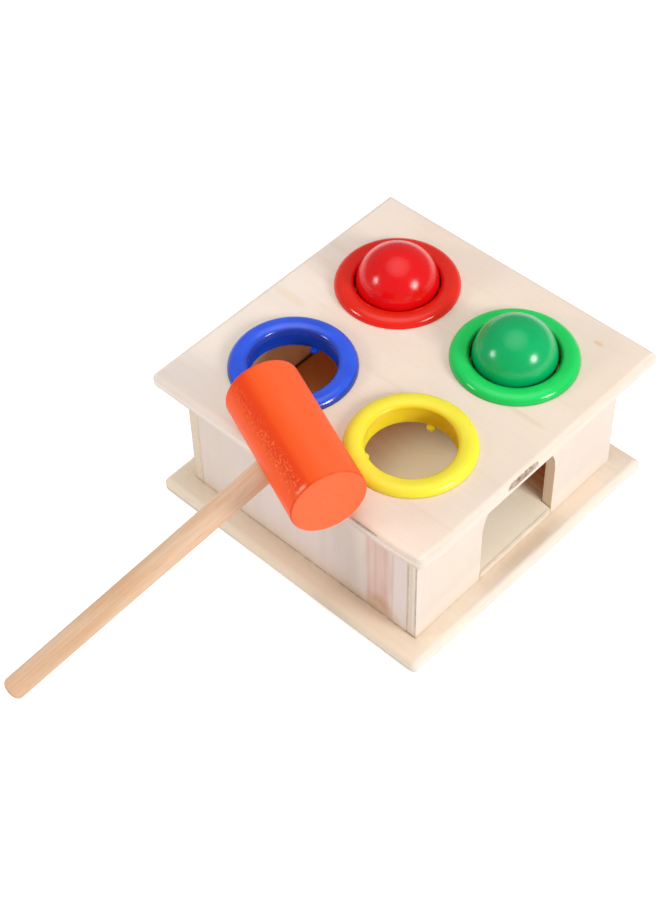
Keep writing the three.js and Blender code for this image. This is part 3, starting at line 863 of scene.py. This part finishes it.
def ramp_board():
    """The sloping floor of the box, with a tongue that fills the doorway."""
    upright = RAMP_THICK / math.cos(math.atan(RAMP_SLOPE))
    front = -WALL_HALF
    side = inside_back = WALL_HALF - WALL_THICK - RAMP_GAP
    inside_front = front + WALL_THICK + RAMP_GAP
    tongue = DOOR_HALF - RAMP_GAP
    corners = [(-tongue, front), (tongue, front), (tongue, inside_front), (side, inside_front),
               (side, inside_back), (-side, inside_back), (-side, inside_front), (-tongue, inside_front)]
    outline = [Vector(corner) for corner in corners]

    def place(p):
        return Vector((p.x, p.y, WALL_LOW + p.z / RAMP_THICK * upright + (p.y - front) * RAMP_SLOPE))

    def coords(p):
        return (p.y, p.x, upright + WALL_LOW + (p.y - front) * RAMP_SLOPE - p.z)

    patches = [
        # Pale in the middle and warm on the left; painted shade at the back, under the top board, and on the
        # right, in the front wall's shadow, both orange brown
        Patch(-3, -3, 24, 26, (1.0, 0.85, 0.52), 0.8),
        Patch(44, 0, 46, 90, (0.84, 0.34, 0.09), 0.95),
        Patch(-10, -34, 22, 20, (0.92, 0.66, 0.42), 0.6),
        Patch(-30, 48, 40, 31, (0.84, 0.30, 0.03), 0.95),
        # Painted contact shadow in the seam at the back wall
        Patch(inside_back, 0, 1.3, 90, (0.14, 0.05, 0.02), 0.95),
    ]
    sawn_front = front + 0.6
    strips = [
        Strip("along", sawn_front, -1, 1.2, (0.58, 0.48, 0.38), 0.7),
        Strip("along", sawn_front, 1.6, 3.2, (0.84, 0.72, 0.61), 0.8),
    ]
    mat = wood("ramp_ply", RAMP_TONES, RAMP_CORE, RAMP_GLUE_LINES, seed=31, grain=0.6, glue_strength=0.10,
               sheen=0.05, strips=strips, patches=patches)
    bm = plate(stepped(outline), [], RAMP_THICK, RAMP_EDGE, 0, THIN_EDGE_STEPS, place)
    finish_piece("ramp_wood", bm, "bench", "ramp_board", mat, coords)


# Rings and balls

# tone and dark are a ring's colours, and shade is its painted shade, which it turns to by the throat's share
# in the hole and by the foot's share along the foot of its lip; in the yellow ring it is orange, for the
# light bounced inside. clear is how much light passes in the plastic, and gloss how strongly it mirrors. A
# ball's third colour is painted shade, where the ball sits in its ring.
Ring = namedtuple("Ring", "tone dark shade throat foot clear gloss")
Ball = namedtuple("Ball", "tone dark rubbed")

RINGS = {
    "red": Ring((0.76, 0.019, 0.006), (0.68, 0.010, 0.003), (0.80, 0.0, 0.003), 0.9, 0.35, 0.0, 0.36),
    "green": Ring((0.012, 0.66, 0.125), (0.006, 0.56, 0.095), (0.0, 0.14, 0.010), 0.9, 0.35, 0.0, 0.36),
    "blue": Ring((0.024, 0.102, 0.79), (0.008, 0.045, 0.53), (0.0, 0.003, 0.030), 0.38, 0.85, 0.0, 0.55),
    "yellow": Ring((0.99, 0.83, 0.068), (0.98, 0.76, 0.035), (1.0, 0.62, 0.0), 0.55, 0.1, 0.7, 0.29),
}
BALLS = {
    "red": Ball((0.76, 0.003, 0.004), (0.66, 0.001, 0.002), (0.50, 0.0, 0.001)),
    "green": Ball((0.0, 0.41, 0.120), (0.0, 0.335, 0.088), (0.0, 0.075, 0.014)),
}


def ring_profile():
    """The section of a ring, from under its lip over the dome, down the throat, round the barrel's foot."""
    barrel = HOLE_RADIUS - 0.1
    seat, lip = 0.06, 21.2
    crest, crest_height = 18.45, 2.95
    outer_low, outer_width = 0.2, 3.1
    inner_low, inner_width = 1.45, 3.62
    throat, flare = 14.88, 0.12
    throat_heights = (-0.6, -1.9, -3.2, -4.4, -5.3)
    foot, foot_height, foot_round = 15.66, -5.35, 0.64
    heel, heel_height, heel_round = 16.45, -5.7, 0.3
    last = len(throat_heights) - 1
    outer = ellipse(crest, outer_low, outer_width, crest_height - outer_low, 0, QUARTER, steps=12)
    inner = ellipse(crest, inner_low, inner_width, crest_height - inner_low, QUARTER, math.pi, steps=18)
    return ([(barrel, seat), (lip, seat)] + outer + inner[1:]
            + [(throat + flare * k / last, height) for k, height in enumerate(throat_heights)]
            + ellipse(foot, foot_height, foot_round, foot_round, math.pi, 3 * QUARTER, steps=6)
            + ellipse(heel, heel_height, heel_round, heel_round, 3 * QUARTER, 4 * QUARTER, steps=4))


def nub_profile():
    """A short round post, slightly domed, in the throat's foot."""
    radius, foot, shoulder, top, edge = 1.45, -6.3, -5.85, -5.33, 0.5
    rounded = ellipse(radius - edge, shoulder, edge, edge, 0, QUARTER, steps=6)
    return [(0, foot), (radius, foot)] + rounded + [(0, top)]


def rings():
    first_seed = 5
    for index, (color, ring) in enumerate(RINGS.items()):
        centre = middle(color + "_ring")
        centre.z = TOP_HIGH
        bm = lathe(ring_profile(), RING_SIDES, lambda p: p + centre)
        for bearing in (math.radians(degrees) for degrees in NUB_BEARINGS):
            at = centre + NUB_AT * Vector((math.cos(bearing), math.sin(bearing), 0))
            post = lathe(nub_profile(), NUB_SIDES, lambda p: p + at)
            mesh = bpy.data.meshes.new("nub")
            post.to_mesh(mesh)
            post.free()
            bm.from_mesh(mesh)
            bpy.data.meshes.remove(mesh)
        mat = ring_plastic(color + "_ring_plastic", ring, first_seed + index)
        finish_piece(color + "_ring_moulded", bm, "bench", color + "_ring", mat, lambda p: p - centre)


def balls():
    """Each ball is a cube's grid evened out over a sphere, with the faint waviness of turned, dipped wood."""
    first_seed = 2
    mean_radius = BALL_RADIUS - 0.03
    slow_wave, slow_height = 2.2, 0.021
    quick_wave, quick_height = 6, 0.0048
    for index, (color, ball) in enumerate(BALLS.items()):
        centre = middle(color + "_ball")
        shift = Vector((3.1, 7.7, 1.3)) * (index + 1)
        bm = bmesh.new()
        bmesh.ops.create_cube(bm, size=2)
        bmesh.ops.subdivide_edges(bm, edges=bm.edges, cuts=BALL_CUTS, use_grid_fill=True)
        for v in bm.verts:
            out = Vector([math.tan(c * math.pi / 4) for c in v.co]).normalized()
            wave = (noise.noise(out * slow_wave + shift) * slow_height
                    + noise.noise(out * quick_wave + shift) * quick_height)
            v.co = centre + out * (mean_radius + wave)
        mat = ball_paint(color + "_ball_paint", ball, first_seed + index)
        finish_piece(color + "_ball_painted", bm, color + "_ball_body", color + "_ball", mat,
                     lambda p: p - centre, sharp=80)


# Hammer

def to_row(p):
    """From the hammer's own axes to the row's."""
    return HAMMER_TURN @ p + HAMMER_AT


def to_hammer(p):
    return HAMMER_TURN.transposed() @ (p - HAMMER_AT)


def hammer_head():
    """A turned cylinder with rounded rims and a blind socket, cut by a boolean in the hammer's own axes."""
    bar = lathe(softened_bar(HEAD_RADIUS, -HEAD_HALF, HEAD_HALF, HEAD_EDGE), HEAD_SIDES,
                lambda p: Vector((p.x, p.z, p.y)))
    bmesh.ops.recalc_face_normals(bar, faces=bar.faces)
    bottom = -TENON - SOCKET_END_GAP
    bore, mouth = HANDLE_RADIUS + SOCKET_GAP, HANDLE_RADIUS + SOCKET_MOUTH_GAP
    profile = [(0, bottom), (bore, bottom), (bore, SOCKET_MOUTH), (mouth, SOCKET_OUT), (0, SOCKET_OUT)]
    socket = lathe(profile, SOCKET_SIDES, lambda p: Vector((-p.z, p.x, p.y)))
    bmesh.ops.recalc_face_normals(socket, faces=socket.faces)
    head, cutter = loose_object("head", bar), loose_object("socket", socket)
    boolean = head.modifiers.new("socket", "BOOLEAN")
    boolean.operation, boolean.object, boolean.solver = "DIFFERENCE", cutter, "EXACT"
    bpy.context.view_layer.update()
    cut_mesh = bpy.data.meshes.new_from_object(head.evaluated_get(bpy.context.evaluated_depsgraph_get()))
    bm = bmesh.new()
    bm.from_mesh(cut_mesh)
    for obj in (head, cutter):
        bpy.data.objects.remove(obj)
    for v in bm.verts:
        v.co = to_row(v.co)

    def coords(p):
        q = to_hammer(p)
        return (q.y, q.x, q.z)

    mat = head_paint("hammer_head_paint", seed=7)
    finish_piece("hammer_head_painted", bm, "hammer", "hammer_head", mat, coords)


def hammer_handle():
    """A dowel from its tenon in the head to its sawn end on the table."""
    profile = softened_bar(HANDLE_RADIUS, -TENON, HANDLE_REACH, HANDLE_EDGE)
    bm = lathe(profile, HANDLE_SIDES, lambda p: to_row(Vector((-p.z, p.x, p.y))))

    def coords(p):
        q = to_hammer(p)
        return (-q.x, q.y, q.z)

    mat = dowel("hammer_dowel", seed=9)
    finish_piece("hammer_handle_dowel", bm, "hammer", "hammer_handle", mat, coords)


# Floor, lights and world

# Lamps are round and point at the box: where each stands from it, how far off and how wide it is in metres,
# and its power in watts. A core is a smaller lamp before a wide one, and gives shadows and glints their edge.
Lamp = namedtuple("Lamp", "name direction distance width watts")
LAMP_TARGET = Vector((0, 0, 0.04))
FRONT, LEFT, ABOVE = (0.095, -0.90, 0.425), (-0.775, 0.497, 0.387), (0, 0, 1)
LAMPS = [
    Lamp("key", FRONT, 1.1, 0.46, 2.6),
    Lamp("key_core", FRONT, 1.08, 0.29, 4.5),
    Lamp("left", LEFT, 1.1, 0.36, 0.7),
    Lamp("left_core", LEFT, 1.08, 0.27, 2.4),
    Lamp("overhead", ABOVE, 1.22, 1.35, 4.6),
    Lamp("overhead_core", ABOVE, 1.2, 0.75, 1.0),
    Lamp("low_fill", (0.05, -0.99, 0.12), 1.2, 0.7, 0.35),
]
WORLD_STRENGTH = 0.43
WHITE = (1, 1, 1, 1)
FLOOR_WHITE = (0.95, 0.95, 0.95, 1)
FLOOR_LIFT = 0.5
FLOOR_HALF_METRES = 30


def area_light(lamp):
    data = bpy.data.lights.new(lamp.name, "AREA")
    data.shape = "DISK"
    data.size = lamp.width
    data.energy = lamp.watts
    light = bpy.data.objects.new(lamp.name, data)
    bpy.context.scene.collection.objects.link(light)
    direction = Vector(lamp.direction).normalized()
    light.location = LAMP_TARGET + direction * lamp.distance
    light.rotation_euler = direction.to_track_quat("Z", "Y").to_euler()


def white_world():
    world = bpy.data.worlds.new("studio")
    bpy.context.scene.world = world
    world.use_nodes = True
    surroundings = world.node_tree.nodes["Background"]
    surroundings.inputs["Color"].default_value = WHITE
    surroundings.inputs["Strength"].default_value = WORLD_STRENGTH


def floor_paint():
    """Pale matt floor, lifted to white for the camera, in mirrors and through clear things. It keeps its
    shadows."""
    s = Shader("floor")
    diffuse = s.node("ShaderNodeBsdfDiffuse", {"Color": FLOOR_WHITE})
    path = s.node("ShaderNodeLightPath").outputs
    shown = s.larger(path["Is Camera Ray"], s.larger(path["Is Glossy Ray"], path["Is Transmission Ray"]))
    lift = s.node("ShaderNodeEmission", {"Color": WHITE, "Strength": s.times(shown, FLOOR_LIFT)})
    both = s.node("ShaderNodeAddShader", {0: diffuse.outputs[0], 1: lift.outputs[0]})
    s.tree.links.new(both.outputs[0], s.out.inputs[0])
    return s.mat


def studio():
    for lamp in LAMPS:
        area_light(lamp)
    white_world()
    bm = bmesh.new()
    bmesh.ops.create_grid(bm, x_segments=1, y_segments=1, size=FLOOR_HALF_METRES)
    floor = loose_object("floor", bm)
    floor.data.materials.append(floor_paint())


place_camera()
top_board()
base_board()
walls()
ramp_board()
rings()
balls()
hammer_head()
hammer_handle()
studio()
bpy.context.scene.view_settings.view_transform = "Standard"
